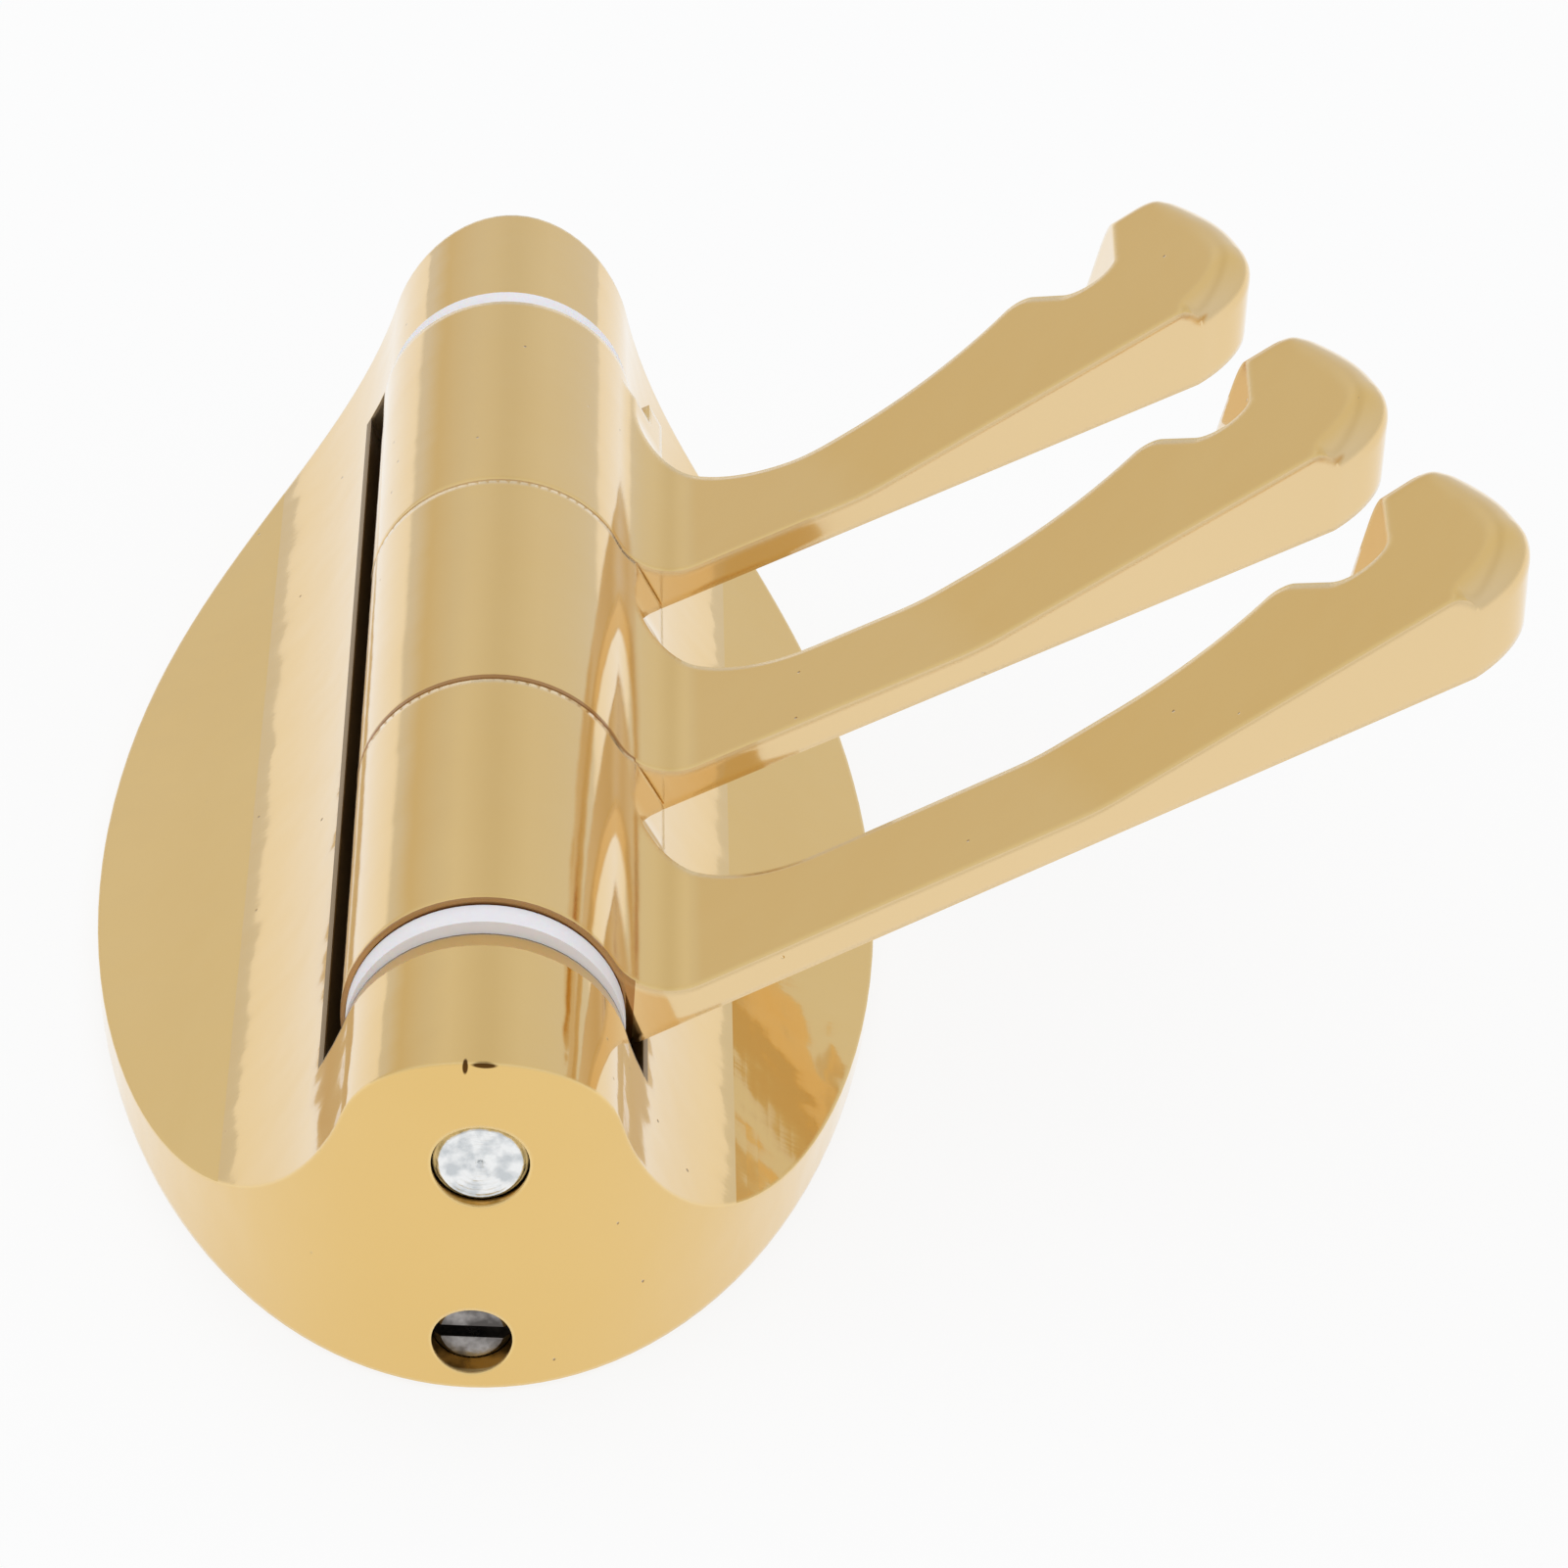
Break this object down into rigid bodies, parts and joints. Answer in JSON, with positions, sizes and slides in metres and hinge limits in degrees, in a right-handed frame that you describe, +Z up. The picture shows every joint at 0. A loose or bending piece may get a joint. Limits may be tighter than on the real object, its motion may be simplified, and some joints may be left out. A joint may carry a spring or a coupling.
{
  "type": "folding wall hook",
  "caption": "Folding wall hook: an oval polished base with a barrel hinge on which graduated arms with upturned tips swing from side to side, for hanging clothes or towels.",
  "frame": {"origin": "centre of the oval back on the wall plane", "axes": "+Z up along the barrel, -Y out from the wall, +X toward the side the arms are swung to"},
  "size_m": [0.0896, 0.0543, 0.107],
  "materials": {
    "gold_base": "polished gold plate on a zinc casting",
    "gold_hooks": "polished gold plate on a zinc casting",
    "nylon": "satin white nylon",
    "plated_steel": "turned and zinc plated",
    "bracket_steel": "zinc-plated pressed sheet",
    "dark_steel": "blackened steel"
  },
  "bodies": {
    "base": {"base": "gold_base", "wall_bracket": "bracket_steel", "set_screw": "dark_steel", "pivot_pin": "plated_steel", "washer_lower": "nylon", "washer_upper": "nylon"},
    "hook_lower": {"hook_lower": "gold_hooks"},
    "hook_middle": {"hook_middle": "gold_hooks"},
    "hook_upper": {"hook_upper": "gold_hooks"}
  },
  "joints": [
    {"name": "lower_swing", "type": "hinge", "parent": "base", "child": "hook_lower", "pos_m": [0, -0.0174, -0.0254], "axis": [0, 0, -1], "range_deg": [-5, 158]},
    {"name": "middle_swing", "type": "hinge", "parent": "base", "child": "hook_middle", "pos_m": [0, -0.0174, 0], "axis": [0, 0, -1], "range_deg": [-3, 158]},
    {"name": "upper_swing", "type": "hinge", "parent": "base", "child": "hook_upper", "pos_m": [0, -0.0174, 0.0254], "axis": [0, 0, -1], "range_deg": [-3, 158]}
  ]
}
